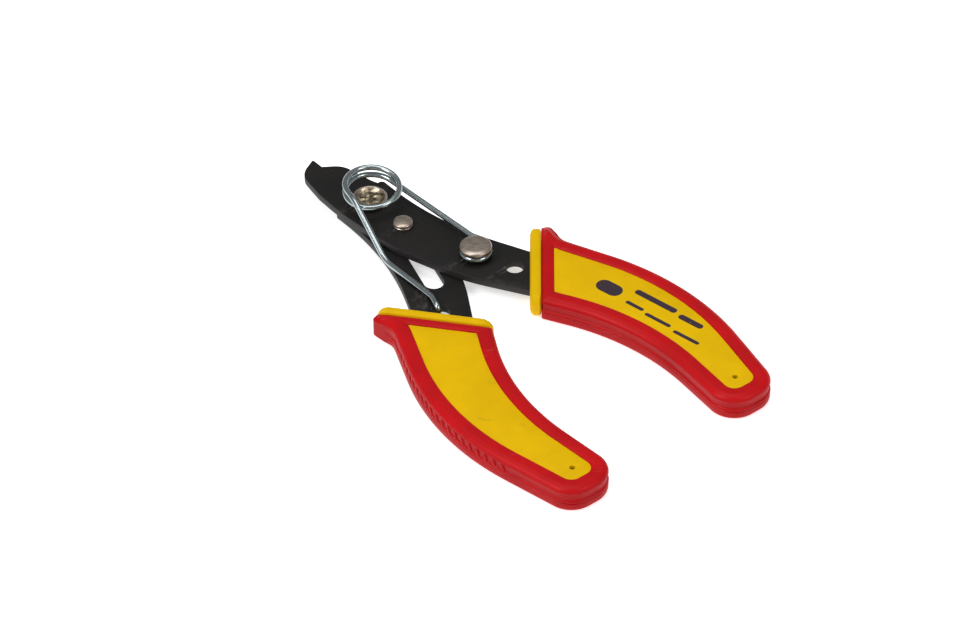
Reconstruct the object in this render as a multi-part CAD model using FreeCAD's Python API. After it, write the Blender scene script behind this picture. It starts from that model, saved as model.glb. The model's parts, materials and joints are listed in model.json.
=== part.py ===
import FreeCAD, Part
import os
from math import acos, atan2, cos, hypot, pi, radians, sin, tan

# A pair of crossed-blade wire strippers lying flat, held open by their return spring.
# Plan sizes are measured from the pivot axis: X across the tool, Y along it with the jaws at +Y.
# Outlines are drawn for the upper arm, whose handle is at +X. The lower arm is its mirror image.
# place() then moves everything, so that the origin is under the middle of the tool, on the surface under it.

V = FreeCAD.Vector
UP = V(0, 0, 1)

# Overall plan
JAW_TIP_Y = 24.1
GRIP_END_Y = -126.0
ORIGIN_Y = (JAW_TIP_Y + GRIP_END_Y) / 2

# Heights above the surface
GRIP_HEIGHT = 7.4
PANEL_RECESS = 0.5
BLADE_THICKNESS = 2.1
BLADE_GAP = 0.1
BLADE_SPLIT_Z = GRIP_HEIGHT / 2
LOWER_TOP_Z = BLADE_SPLIT_Z - BLADE_GAP / 2
LOWER_BOTTOM_Z = LOWER_TOP_Z - BLADE_THICKNESS
UPPER_BOTTOM_Z = BLADE_SPLIT_Z + BLADE_GAP / 2
UPPER_TOP_Z = UPPER_BOTTOM_Z + BLADE_THICKNESS

# Travel of the lower arm, from open to closed
CLOSING_ANGLE = 10.5

# Blades
UPPER_JAW_SETBACK = 0.9
LOWER_JAW_SETBACK = 0.3
BODY_BACK = 9.0
LOWER_JAW_TIP_Y = 22.6
UPPER_JAW_ROOT = (-8.8, 11.0)
UPPER_JAW_SHOULDER = (-7.2, 20.9)
LOWER_JAW_ROOT = (-7.5, 9.0)
LOWER_JAW_SHOULDER = (-5.5, 19.0)
JAW_ROOT_ROUND = 10.0
JAW_SHOULDER_ROUND = 6.0
JAW_TIP_ROUND = 0.4
HEEL_Y = 5.0
HEEL_X = 8.2
HEEL_CORNER = 1.2
NOTCH_Y = 18.4
NOTCH_DEPTH = 0.9
NOTCH_HALF_WIDTH = 0.55
HOLE_CENTRE = (12.5, -46.1)
HOLE_RADIUS = 2.45
SLOT_HALF_WIDTH = 2.75
SLOT_NEAR = (2.05, -21.5)
SLOT_FAR = (6.3, -35.2)

# Pivot rivet
PIVOT_SHANK_RADIUS = 3.0
PIVOT_RUNNING_CLEARANCE = 0.05
PIVOT_HEAD_RADIUS = 4.7
PIVOT_HEAD_HEIGHT = 1.8
PIVOT_DISH_RADIUS = 3.8
PIVOT_DISH_DEPTH = 0.9
PIVOT_DISH_SLOPE = 0.25
PIVOT_RIM_ROUND = 0.5
PIVOT_TAIL_RADIUS = 3.9
PIVOT_WASHER_RADIUS = 5.0

# Stop pin, fixed in the upper blade, and its window in the lower blade
PIN_CENTRE = (0.4, -13.7)
PIN_SHANK_RADIUS = 1.3
PIN_HEAD_RADIUS = 2.65
PIN_HEAD_HEIGHT = 1.9
PIN_HEAD_RIM = 0.9
PIN_TAIL_RADIUS = 2.0
PIN_WASHER_RADIUS = 3.5
PIN_CLEARANCE = 0.15

# Washers and closed rivet ends under the lower blade
WASHER_GAP = 0.1
WASHER_THICKNESS = 0.6
TAIL_HEIGHT = 0.65

# Spring post
POST_CENTRE = (7.4, -36.0)
POST_SHANK_RADIUS = 2.0
POST_NECK_RADIUS = 2.7
POST_NECK_HEIGHT = 2.5
POST_HEAD_RADIUS = 4.35
POST_HEAD_HEIGHT = 1.6
POST_HEAD_RIM = 0.6

# Return spring
WIRE_RADIUS = 0.8
COIL_CENTRE = (0.5, -0.4)
COIL_RADIUS = 7.3
COIL_PITCH = 2.5
COIL_START_Z = 8.4
COIL_TILT = 0.5
COIL_HIGH_SIDE = radians(51)
EYE_RADIUS = 3.65
EYE_Z = UPPER_TOP_Z + 1.55
EYE_TURN = 318
LEG_KNEE = (-11.4, -21.0)
LEG_BEND = (-11.2, -40.5)
LEG_HOOK = (-12.7, -45.0)
LEG_REST_Z = LOWER_TOP_Z + WIRE_RADIUS + 0.1
EXIT_RUN = 4.0
EXIT_RADIUS = 12.0
KNEE_RADIUS = 9.0
BEND_RADIUS = 3.0
HOOK_RADIUS = 1.6
HOOK_BOTTOM_Z = 1.1

# Grips
COLLAR_ANGLE = 39.6
COLLAR_FRONT = 43.0
COLLAR_THICKNESS = 3.0
COLLAR_FROM = 11.5
COLLAR_TO = 42.6
COVER_FROM = 11.9
COVER_TO = 42.7
HORN_TIP = (30.5, -38.9)
HORN_ROUND = 1.2
GRIP_END_OUTER_X = 34.8
GRIP_END_INNER_X = 17.9
GRIP_END_ROUND = 7.5
COLLAR_INSET = 0.15
COLLAR_CORNER = 2.9
COLLAR_ROUND = 1.0
PANEL_FRONT = 49.4
PANEL_BORDER = 4.6
CARCASS_BORDER = 2.2
CARCASS_COVER = 1.3
NECK_OVERLAP = 0.5
NECK_LENGTH = 5.0
NECK_INSET = 3.0
GRIP_ROUND = 1.2
PIN_MARK_CENTRE = (27.4, -117.3)
PIN_MARK_RADIUS = 0.75
PIN_MARK_DEPTH = 2.0


def place(shape):
    """Moves a shape from the pivot-centred plan to the tool's own frame."""
    moved = shape.copy()
    moved.translate(V(0, -ORIGIN_Y, 0))
    return moved


def mirrored(shape):
    """The lower arm's version of a shape drawn for the upper arm, at the same height."""
    return shape.mirror(V(0, 0, 0), V(1, 0, 0))


def flat(point):
    return V(point[0], point[1], 0)


def arc(start, middle, end):
    return Part.Arc(flat(start), flat(middle), flat(end)).toShape()


def rounded_outline(corners):
    """A closed outline of straight runs and tangent arcs, from (x, y, corner radius) points."""
    count = len(corners)
    starts, ends, arcs = [], [], []
    for k, (x, y, radius) in enumerate(corners):
        corner = V(x, y, 0)
        back = (flat(corners[k - 1]) - corner).normalize()
        ahead = (flat(corners[(k + 1) % count]) - corner).normalize()
        half = back.getAngle(ahead) / 2
        reach = radius / tan(half)
        starts.append(corner + back * reach)
        ends.append(corner + ahead * reach)
        arcs.append(corner + (back + ahead).normalize() * (radius / sin(half) - radius))
    edges = []
    for k in range(count):
        if corners[k][2] > 0:
            edges.append(Part.Arc(starts[k], arcs[k], ends[k]).toShape())
        edges.append(Part.LineSegment(ends[k], starts[(k + 1) % count]).toShape())
    return edges


def prism(edges, bottom, top):
    """A straight-sided solid over a closed outline of edges."""
    face = Part.Face(Part.Wire(edges))
    face.translate(V(0, 0, bottom))
    return face.extrude(V(0, 0, top - bottom))


def disc(centre, radius, bottom, top):
    return Part.makeCylinder(radius, top - bottom, V(centre[0], centre[1], bottom))


def turned(centre, profile):
    """A solid of revolution about an upright axis, from (radius, z) edges that start and end on the axis."""
    face = Part.Face(Part.Wire(profile))
    face.translate(V(centre[0], centre[1], 0))
    return face.revolve(V(centre[0], centre[1], 0), UP, 360)


def profile_line(start, end):
    return Part.LineSegment(V(start[0], 0, start[1]), V(end[0], 0, end[1])).toShape()


def profile_arc(start, middle, end):
    points = [V(radius, 0, z) for radius, z in (start, middle, end)]
    return Part.Arc(*points).toShape()


def button(centre, radius, height, rim, bottom):
    """A button head: a straight rim under a shallow dome."""
    top = bottom + height
    shoulder = bottom + rim
    middle = (0.72 * radius, shoulder + 0.72 * (height - rim))
    return turned(centre, [
        profile_line((0, bottom), (radius, bottom)),
        profile_line((radius, bottom), (radius, shoulder)),
        profile_arc((radius, shoulder), middle, (0.35 * radius, top)),
        profile_line((0.35 * radius, top), (0, top)),
        profile_line((0, top), (0, bottom)),
    ])


def largest(shape):
    """The main solid of a boolean result."""
    return max(shape.Solids, key=lambda solid: solid.Volume)


# Blades

def blade_body():
    """Heel, body and tang of one blade, with a plain square block where the jaw goes, as (x, y, radius) corners."""
    return rounded_outline([
        (HEEL_X, HEEL_Y, HEEL_CORNER),
        (8.0, -17.8, 85),
        (30.4, -67.4, 38),
        (30.2, -97.5, 2.5),
        (24.8, -97.5, 2.5),
        (23.9, -80.0, 30),
        (-0.6, -39.6, 60),
        (-7.2, -19.5, 40),
        (-BODY_BACK, -1.5, 50),
        (-BODY_BACK, HEEL_Y, 0),
    ])


def jaw_outline(tip_y, setback, root, shoulder):
    """One jaw: straight notched cutting edge, rounded shoulder, and a back that slopes from its root."""
    return rounded_outline([
        (-setback, tip_y, JAW_TIP_ROUND),
        (-setback, NOTCH_Y + NOTCH_HALF_WIDTH, 0),
        (-setback - NOTCH_DEPTH, NOTCH_Y, 0),
        (-setback, NOTCH_Y - NOTCH_HALF_WIDTH, 0),
        (-setback, HEEL_Y, 0),
        (-BODY_BACK, HEEL_Y, 0),
        (*root, JAW_ROOT_ROUND),
        (*shoulder, JAW_SHOULDER_ROUND),
    ])


def blade_plate(jaw, bottom):
    """One blade before its holes, from the outline of its jaw."""
    top = bottom + BLADE_THICKNESS
    return prism(blade_body(), bottom, top).fuse(prism(jaw, bottom, top)).removeSplitter()


def slot_cutter(start, end, half_width, bottom, top):
    """A round-ended straight slot."""
    along = (flat(end) - flat(start)).normalize()
    side = V(-along.y, along.x, 0) * half_width
    corners = [flat(start) + side, flat(end) + side, flat(end) - side, flat(start) - side]
    edges = [
        Part.LineSegment(corners[0], corners[1]).toShape(),
        Part.Arc(corners[1], flat(end) + along * half_width, corners[2]).toShape(),
        Part.LineSegment(corners[2], corners[3]).toShape(),
        Part.Arc(corners[3], flat(start) - along * half_width, corners[0]).toShape(),
    ]
    return prism(edges, bottom, top)


def stop_window_cutter(bottom, top):
    """The curved window that the stop pin runs in, seen in the open lower blade."""
    reach = hypot(*PIN_CENTRE)
    open_angle = atan2(PIN_CENTRE[1], PIN_CENTRE[0])
    closed_angle = open_angle - radians(CLOSING_ANGLE)
    half_width = PIN_SHANK_RADIUS + PIN_CLEARANCE

    def at(radius, angle):
        return (radius * cos(angle), radius * sin(angle))

    outer, inner = reach + half_width, reach - half_width
    middle_angle = (open_angle + closed_angle) / 2
    end_swing = half_width / reach
    edges = [
        arc(at(outer, open_angle), at(outer, middle_angle), at(outer, closed_angle)),
        arc(at(outer, closed_angle), at(reach, closed_angle - end_swing), at(inner, closed_angle)),
        arc(at(inner, closed_angle), at(inner, middle_angle), at(inner, open_angle)),
        arc(at(inner, open_angle), at(reach, open_angle + end_swing), at(outer, open_angle)),
    ]
    return prism(edges, bottom, top)


def make_upper_blade():
    jaw = jaw_outline(JAW_TIP_Y, UPPER_JAW_SETBACK, UPPER_JAW_ROOT, UPPER_JAW_SHOULDER)
    blade = blade_plate(jaw, UPPER_BOTTOM_Z)
    below, above = UPPER_BOTTOM_Z - 1, UPPER_TOP_Z + 1
    blade = blade.cut(disc((0, 0), PIVOT_SHANK_RADIUS, below, above))
    blade = blade.cut(disc(PIN_CENTRE, PIN_SHANK_RADIUS, below, above))
    blade = blade.cut(disc(POST_CENTRE, POST_SHANK_RADIUS, below, above))
    return largest(blade.cut(disc(HOLE_CENTRE, HOLE_RADIUS, below, above)))


def make_lower_blade():
    jaw = jaw_outline(LOWER_JAW_TIP_Y, LOWER_JAW_SETBACK, LOWER_JAW_ROOT, LOWER_JAW_SHOULDER)
    blade = mirrored(blade_plate(jaw, LOWER_BOTTOM_Z))
    below, above = LOWER_BOTTOM_Z - 1, LOWER_TOP_Z + 1
    bore = PIVOT_SHANK_RADIUS + PIVOT_RUNNING_CLEARANCE
    blade = blade.cut(disc((0, 0), bore, below, above))
    blade = blade.cut(stop_window_cutter(below, above))
    blade = blade.cut(mirrored(slot_cutter(SLOT_NEAR, SLOT_FAR, SLOT_HALF_WIDTH, below, above)))
    return largest(blade.cut(mirrored(disc(HOLE_CENTRE, HOLE_RADIUS, below, above))))


# Rivets, pin and post

def washer_top():
    return LOWER_BOTTOM_Z - WASHER_GAP


def washer_bottom():
    return washer_top() - WASHER_THICKNESS


def tail_bottom():
    return washer_bottom() - TAIL_HEIGHT


def make_washer(centre, outer, inner):
    ring = disc(centre, outer, washer_bottom(), washer_top())
    return ring.cut(disc(centre, inner, washer_bottom() - 1, washer_top() + 1))


def make_tail(centre, radius):
    """A closed rivet end: a low button, wide side up."""
    bottom, top = tail_bottom(), washer_bottom()
    middle = (0.86 * radius, bottom + 0.28 * TAIL_HEIGHT)
    return turned(centre, [
        profile_line((0, bottom), (0.55 * radius, bottom)),
        profile_arc((0.55 * radius, bottom), middle, (radius, top)),
        profile_line((radius, top), (0, top)),
        profile_line((0, top), (0, bottom)),
    ])


def make_pivot_rivet():
    """Dished round head, shank through both blades, closed end under the washer."""
    seat, rim = UPPER_TOP_Z, UPPER_TOP_Z + PIVOT_HEAD_HEIGHT
    floor = rim - PIVOT_DISH_DEPTH
    outer = PIVOT_HEAD_RADIUS
    lip = (PIVOT_HEAD_RADIUS + PIVOT_DISH_RADIUS) / 2
    wall_foot = (0.8 * PIVOT_DISH_RADIUS, floor + PIVOT_DISH_SLOPE)
    floor_edge = (0.5 * PIVOT_DISH_RADIUS, floor)
    shoulder = (outer, rim - PIVOT_RIM_ROUND)
    rim_middle = (outer - 0.3 * PIVOT_RIM_ROUND, rim - 0.25 * PIVOT_RIM_ROUND)
    dish_middle = (PIVOT_DISH_RADIUS - 0.1, rim - 0.3 * PIVOT_RIM_ROUND)
    head = turned((0, 0), [
        profile_line((0, seat), (outer, seat)),
        profile_line((outer, seat), shoulder),
        profile_arc(shoulder, rim_middle, (lip, rim)),
        profile_arc((lip, rim), dish_middle, wall_foot),
        profile_line(wall_foot, floor_edge),
        profile_line(floor_edge, (0, floor)),
        profile_line((0, floor), (0, seat)),
    ])
    shank = disc((0, 0), PIVOT_SHANK_RADIUS, washer_bottom(), seat)
    return head.fuse([shank, make_tail((0, 0), PIVOT_TAIL_RADIUS)]).removeSplitter()


def make_stop_pin():
    head = button(PIN_CENTRE, PIN_HEAD_RADIUS, PIN_HEAD_HEIGHT, PIN_HEAD_RIM, UPPER_TOP_Z)
    shank = disc(PIN_CENTRE, PIN_SHANK_RADIUS, washer_bottom(), UPPER_TOP_Z)
    return head.fuse([shank, make_tail(PIN_CENTRE, PIN_TAIL_RADIUS)]).removeSplitter()


def make_spring_post():
    """Button-headed post: its neck carries the spring's eye, its shank is closed flush under the blade."""
    shank = disc(POST_CENTRE, POST_SHANK_RADIUS, UPPER_BOTTOM_Z, UPPER_TOP_Z)
    neck_top = UPPER_TOP_Z + POST_NECK_HEIGHT
    neck = disc(POST_CENTRE, POST_NECK_RADIUS, UPPER_TOP_Z, neck_top)
    head = button(POST_CENTRE, POST_HEAD_RADIUS, POST_HEAD_HEIGHT, POST_HEAD_RIM, neck_top)
    return shank.fuse([neck, head]).removeSplitter()


# Return spring

def tangent_point(outside, centre, radius, side):
    """Where a straight line from a point outside a circle touches it. side is +1 or -1."""
    gap_x, gap_y = outside[0] - centre[0], outside[1] - centre[1]
    angle = atan2(gap_y, gap_x) + side * acos(radius / hypot(gap_x, gap_y))
    return angle, (centre[0] + radius * cos(angle), centre[1] + radius * sin(angle))


def outer_tangent(circle_a, radius_a, circle_b, radius_b):
    """Angle of the contact points of the line that passes both circles on their +X side."""
    run_x, run_y = circle_b[0] - circle_a[0], circle_b[1] - circle_a[1]
    return atan2(run_y, run_x) + acos((radius_a - radius_b) / hypot(run_x, run_y))


def ring_point(centre, radius, angle, z):
    return V(centre[0] + radius * cos(angle), centre[1] + radius * sin(angle), z)


def eye_edges(start_angle):
    """The eye, from its free end to where the leg leaves it, as arcs of a third of its turn each."""
    turn = radians(EYE_TURN)
    steps = 6
    points = [ring_point(POST_CENTRE, EYE_RADIUS, start_angle - turn * (1 - k / steps), EYE_Z)
              for k in range(steps + 1)]
    return [Part.Arc(*points[k:k + 3]).toShape() for k in range(0, steps, 2)], points[-1]


def coil_edges(start_angle, end_angle):
    """The coil, climbing anticlockwise from the straight leg to the knee leg, in arcs of equal turn."""
    steps = 16
    points = []
    for k in range(steps + 1):
        share = k / steps
        angle = start_angle + (end_angle - start_angle) * share
        z = COIL_START_Z + COIL_PITCH * (angle - start_angle) / (2 * pi)
        z += COIL_TILT * cos(angle - COIL_HIGH_SIDE)
        points.append(ring_point(COIL_CENTRE, COIL_RADIUS, angle, z))
    return [Part.Arc(*points[k:k + 3]).toShape() for k in range(0, steps, 2)], points


def rounded_corner(before, corner, after, radius):
    """Tangent arc that rounds the corner between two straight runs."""
    back = (before - corner).normalize()
    ahead = (after - corner).normalize()
    half = back.getAngle(ahead) / 2
    reach = radius * cos(half) / sin(half)
    inward = (back + ahead).normalize()
    middle = corner + inward * (radius / sin(half) - radius)
    return Part.Arc(corner + back * reach, middle, corner + ahead * reach)


def spring_path():
    straight_angle = outer_tangent(COIL_CENTRE, COIL_RADIUS, POST_CENTRE, EYE_RADIUS)
    eye, eye_exit = eye_edges(straight_angle)
    knee_angle, knee_start = tangent_point(LEG_KNEE, COIL_CENTRE, COIL_RADIUS, -1)
    end_angle = knee_angle
    while end_angle < straight_angle + 2 * pi:
        end_angle += 2 * pi
    coil, coil_points = coil_edges(straight_angle, end_angle)
    knee = V(LEG_KNEE[0], LEG_KNEE[1], LEG_REST_Z)
    bend = V(LEG_BEND[0], LEG_BEND[1], LEG_REST_Z)
    hook = V(LEG_HOOK[0], LEG_HOOK[1], LEG_REST_Z)
    tip = V(LEG_HOOK[0], LEG_HOOK[1], HOOK_BOTTOM_Z)
    exit_corner = coil_points[-1] + V(-sin(end_angle), cos(end_angle), 0) * EXIT_RUN
    corners = [coil_points[-1], exit_corner, knee, bend, hook, tip]
    rounds = [EXIT_RADIUS, KNEE_RADIUS, BEND_RADIUS, HOOK_RADIUS]
    edges = eye + [Part.LineSegment(eye_exit, coil_points[0]).toShape()] + coil
    last = corners[0]
    for k, radius in enumerate(rounds):
        bent = rounded_corner(corners[k], corners[k + 1], corners[k + 2], radius)
        edges.append(Part.LineSegment(last, bent.StartPoint).toShape())
        edges.append(bent.toShape())
        last = bent.EndPoint
    edges.append(Part.LineSegment(last, tip).toShape())
    return edges


def make_return_spring():
    edges = spring_path()
    path = Part.Wire(edges)
    first = edges[0]
    start = first.valueAt(first.FirstParameter)
    heading = first.tangentAt(first.FirstParameter)
    section = Part.Wire([Part.makeCircle(WIRE_RADIUS, start, heading)])
    spring = path.makePipeShell([section], True, False, 0)
    expected = pi * WIRE_RADIUS ** 2 * path.Length
    print("spring volume / section x length:", round(spring.Volume / expected, 4))
    return spring


# Grips

def collar_axes():
    """Unit vectors of the collar: along the grip, and across it from its outer to its inner end."""
    tilt = radians(COLLAR_ANGLE)
    return V(cos(tilt), -sin(tilt), 0), V(-sin(tilt), -cos(tilt), 0)


def collar_point(along, across):
    ahead, inward = collar_axes()
    return ahead * along + inward * across


def grip_outline():
    """The cover seen from above, from the guard horn beside the collar round to the inner corner."""
    back = COLLAR_FRONT + COLLAR_THICKNESS
    horn_root = collar_point(back, COVER_FROM)
    inner_root = collar_point(back, COVER_TO)
    return rounded_outline([
        (horn_root.x, horn_root.y, 0),
        (*HORN_TIP, HORN_ROUND),
        (29.0, -46.0, 6),
        (44.5, -81.3, 74),
        (GRIP_END_OUTER_X, GRIP_END_Y, GRIP_END_ROUND),
        (GRIP_END_INNER_X, GRIP_END_Y, GRIP_END_ROUND),
        (21.2, -85.7, 66),
        (inner_root.x, inner_root.y, 0),
    ])


def inset_wire(border):
    return Part.Wire(grip_outline()).makeOffset2D(-border, 0, False, False, False)


def inset_slab(border, cover):
    """The grip's plan drawn in by a border, and its height by the same cover above and below."""
    face = Part.Face(inset_wire(border))
    face.translate(V(0, 0, cover))
    return face.extrude(V(0, 0, GRIP_HEIGHT - 2 * cover))


def slanted_block(along, across, length, width, bottom, top):
    """An upright block square to the collar, from one corner given along and across the grip."""
    ahead, inward = collar_axes()
    corner = collar_point(along, across)
    corners = [corner, corner + ahead * length]
    corners += [corners[1] + inward * width, corner + inward * width, corner]
    face = Part.Face(Part.makePolygon(corners))
    face.translate(V(0, 0, bottom))
    return face.extrude(V(0, 0, top - bottom))


def behind_line(along):
    """A block as big as the whole grip that starts at a line parallel to the collar."""
    return slanted_block(along, -20, -GRIP_END_Y, -GRIP_END_Y, 0, GRIP_HEIGHT)


def make_collar():
    """The flange at the front of the core, a rounded slab across the blade."""
    ahead, inward = collar_axes()
    low, high = COLLAR_INSET, GRIP_HEIGHT - COLLAR_INSET
    start = collar_point(COLLAR_FRONT, COLLAR_FROM)
    end = collar_point(COLLAR_FRONT, COLLAR_TO)
    corners = [start + UP * low, end + UP * low, end + UP * high, start + UP * high]
    loop = Part.makePolygon(corners + corners[:1])
    slab = Part.Face(loop).extrude(ahead * COLLAR_THICKNESS)
    long_edges = [edge for edge in slab.Edges if abs(edge.tangentAt(edge.FirstParameter).dot(ahead)) > 0.9]
    slab = slab.makeFillet(COLLAR_CORNER, long_edges)
    front = [edge for edge in slab.Edges
             if abs(edge.CenterOfMass.dot(ahead) - COLLAR_FRONT) < 0.01]
    return slab.makeFillet(COLLAR_ROUND, front)


def make_grip_core(blade):
    """Yellow moulding: collar, hidden carcass round the tang, and a flat panel on each face."""
    panel = inset_slab(PANEL_BORDER, PANEL_RECESS).common(behind_line(PANEL_FRONT))
    carcass = inset_slab(CARCASS_BORDER, CARCASS_COVER)
    neck_start = COLLAR_FRONT + COLLAR_THICKNESS - NECK_OVERLAP
    neck_width = COLLAR_TO - COLLAR_FROM - 2 * NECK_INSET
    neck = slanted_block(neck_start, COLLAR_FROM + NECK_INSET, NECK_LENGTH, neck_width,
                         CARCASS_COVER, GRIP_HEIGHT - CARCASS_COVER)
    core = make_collar().fuse([carcass, neck, panel])
    pin_mark = disc(PIN_MARK_CENTRE, PIN_MARK_RADIUS, GRIP_HEIGHT - PIN_MARK_DEPTH, GRIP_HEIGHT)
    return largest(core.cut([blade, pin_mark]))


def make_grip_cover(core, blade):
    """Red over-moulding: the whole grip body with rounded edges, less the core inside it."""
    body = prism(grip_outline(), 0, GRIP_HEIGHT)
    level = [edge for edge in body.Edges if abs(edge.tangentAt(edge.FirstParameter).z) < 0.5]
    ahead = collar_axes()[0]
    front = COLLAR_FRONT + COLLAR_THICKNESS
    rims = [edge for edge in level if abs(edge.CenterOfMass.dot(ahead) - front) > 0.05]
    body = body.makeFillet(GRIP_ROUND, rims)
    well = inset_slab(PANEL_BORDER, 0).common(behind_line(PANEL_FRONT))
    return largest(body.cut(well).cut(core).cut(blade))


def save(name, shape):
    placed = place(shape)
    if not placed.isValid():
        raise RuntimeError(name + " is not a valid solid")
    placed.exportStep("parts/" + name + ".step")
    print(f"{name:20s} solids {len(placed.Solids)} volume {placed.Volume:9.2f} mm3")


def main():
    os.makedirs("parts", exist_ok=True)
    upper_blade = make_upper_blade()
    lower_blade = make_lower_blade()
    upper_core = make_grip_core(upper_blade)
    lower_core = mirrored(make_grip_core(mirrored(lower_blade)))
    bore = PIVOT_SHANK_RADIUS
    save("upper_blade", upper_blade)
    save("lower_blade", lower_blade)
    save("pivot_rivet", make_pivot_rivet())
    save("pivot_washer", make_washer((0, 0), PIVOT_WASHER_RADIUS, bore))
    save("stop_pin", make_stop_pin())
    save("stop_pin_washer", make_washer(PIN_CENTRE, PIN_WASHER_RADIUS, PIN_SHANK_RADIUS))
    save("spring_post", make_spring_post())
    save("return_spring", make_return_spring())
    save("upper_grip_core", upper_core)
    save("upper_grip_cover", make_grip_cover(upper_core, upper_blade))
    save("lower_grip_core", lower_core)
    save("lower_grip_cover", mirrored(make_grip_cover(mirrored(lower_core), mirrored(lower_blade))))


main()
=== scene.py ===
import json
from math import acos, atan2, ceil, cos, hypot, pi, radians, sin, tan

import bmesh
import bpy
import numpy as np
from mathutils import Matrix, Vector


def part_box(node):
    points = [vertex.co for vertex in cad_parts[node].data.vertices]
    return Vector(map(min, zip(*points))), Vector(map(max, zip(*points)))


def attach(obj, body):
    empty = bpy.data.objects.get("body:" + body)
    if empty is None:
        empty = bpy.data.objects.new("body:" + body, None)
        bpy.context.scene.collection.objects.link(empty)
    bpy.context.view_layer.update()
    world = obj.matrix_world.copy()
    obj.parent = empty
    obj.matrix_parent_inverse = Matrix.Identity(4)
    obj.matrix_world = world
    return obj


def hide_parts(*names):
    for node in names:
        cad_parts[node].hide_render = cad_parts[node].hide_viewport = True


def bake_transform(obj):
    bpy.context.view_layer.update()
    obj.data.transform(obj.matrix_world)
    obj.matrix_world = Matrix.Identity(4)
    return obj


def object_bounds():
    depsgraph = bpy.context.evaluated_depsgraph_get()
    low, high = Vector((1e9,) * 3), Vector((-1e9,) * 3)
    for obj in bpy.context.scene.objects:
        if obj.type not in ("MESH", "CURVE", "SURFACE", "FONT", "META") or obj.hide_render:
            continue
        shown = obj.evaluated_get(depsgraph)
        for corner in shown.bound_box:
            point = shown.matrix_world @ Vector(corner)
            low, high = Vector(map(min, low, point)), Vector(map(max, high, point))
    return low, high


# Visible pieces and finishes of a crossed-blade wire stripper, built round its CAD frame.
# Plan sizes are in millimetres from the pivot axis and are drawn for the upper arm, whose handle is at +X.
# The lower arm is the mirror image. to_frame() turns them into metres in the frame of the CAD model.

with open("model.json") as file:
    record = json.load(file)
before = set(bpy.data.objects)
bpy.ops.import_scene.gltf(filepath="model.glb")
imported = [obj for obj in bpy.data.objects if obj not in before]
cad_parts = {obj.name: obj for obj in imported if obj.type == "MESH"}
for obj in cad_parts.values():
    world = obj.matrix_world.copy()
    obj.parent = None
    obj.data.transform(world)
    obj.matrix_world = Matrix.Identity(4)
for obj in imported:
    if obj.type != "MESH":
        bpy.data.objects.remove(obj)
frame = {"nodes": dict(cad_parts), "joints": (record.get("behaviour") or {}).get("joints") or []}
CAD_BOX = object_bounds()
PIVOT = Vector(frame["joints"][0]["pos_m"])
MM = 0.001
UP = Vector((0, 0, 1))

bl_info = {
    "name": "Wire Stripper Looks",
    "version": (1, 0, 0),
    "blender": (4, 5, 0),
    "location": "3D View > Sidebar > Wire Stripper",
    "description": "Builds the visible pieces and finishes of a crossed-blade wire stripper",
    "category": "Add Mesh",
}


# Sizes and colours that a user would change

def length(name, description, default):
    return bpy.props.FloatProperty(name=name, description=description, default=default, precision=5,
                                   min=0.0, subtype="DISTANCE", unit="LENGTH")


def colour(name, description, default):
    return bpy.props.FloatVectorProperty(name=name, description=description, default=default,
                                         size=3, min=0.0, max=1.0, subtype="COLOR")


def angle(name, description, degrees):
    return bpy.props.FloatProperty(name=name, description=description, default=radians(degrees),
                                   subtype="ANGLE", unit="ROTATION")


class STRIPPER_PG_blades(bpy.types.PropertyGroup):
    edge: length("Edge softening", "Width of the worn edge round each stamped plate", 0.00016)
    oxide: colour("Oxide", "Colour of the blackened steel", (0.0065, 0.0056, 0.0052))
    sheared: colour("Sheared walls", "Colour of the sheared walls of the plates", (0.035, 0.032, 0.032))
    bare: colour("Bare steel", "Colour of the steel where the black has worn off", (0.11, 0.10, 0.095))


class STRIPPER_PG_fasteners(bpy.types.PropertyGroup):
    stakes: bpy.props.IntProperty(name="Stakes", description="Marks of the staking tool in the pivot's dish",
                                  default=5, min=3, max=12)
    stake_depth: length("Stake depth", "How far the staking tool raised the dish", 0.00028)
    nickel: colour("Nickel", "Colour of the plated heads", (0.53, 0.47, 0.41))
    tarnish: colour("Tarnish", "Colour of the plating where it has tarnished", (0.38, 0.30, 0.24))
    gold: colour("Dish", "Colour of the pivot's dish", (0.54, 0.44, 0.30))


class STRIPPER_PG_spring(bpy.types.PropertyGroup):
    wire: length("Wire", "Diameter of the spring wire", 0.0016)
    coil: length("Coil", "Radius of the coil to the middle of its wire", 0.0073)
    pitch: length("Pitch", "Rise of the coil in one turn", 0.0025)
    zinc: colour("Zinc", "Colour of the plated wire", (0.36, 0.41, 0.42))


class STRIPPER_PG_grips(bpy.types.PropertyGroup):
    border: length("Border", "Width of the red rim round the yellow panel", 0.0046)
    rim_round: length("Rim rounding", "Radius of the cover's outer edges", 0.0012)
    parting: length("Parting height", "Height of the parting groove in the cover's wall", 0.0026)
    rib_count: bpy.props.IntProperty(name="Ribs", description="Ribs on each cover's outer wall",
                                     default=19, min=2, max=60)
    rib_length: length("Rib length", "Length of one rib", 0.0040)
    rib_slant: angle("Rib slant", "Lean of the ribs along the wall", 24.0)
    red: colour("Red", "Colour of the covers", (0.54, 0.003, 0.006))
    yellow: colour("Yellow", "Colour of the cores", (0.78, 0.475, 0.0))
    ink: colour("Ink", "Colour of the printed marks", (0.018, 0.014, 0.045))


class STRIPPER_PG_stage(bpy.types.PropertyGroup):
    distance: length("Distance", "Camera distance from the tool", 1.2955)
    lens: bpy.props.FloatProperty(name="Lens", description="Focal length of the camera", default=185.8,
                                  min=10.0, subtype="DISTANCE_CAMERA")
    elevation: angle("Elevation", "Height of the camera above the horizon", 40.477)
    heading: angle("Heading", "Direction the camera looks in, from +X towards +Y", 51.05)
    roll: angle("Roll", "Turn of the camera about its own axis", -0.4)
    floor: colour("Floor", "Colour of the surface under the tool", (0.93, 0.93, 0.935))


# Shader nodes

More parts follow.
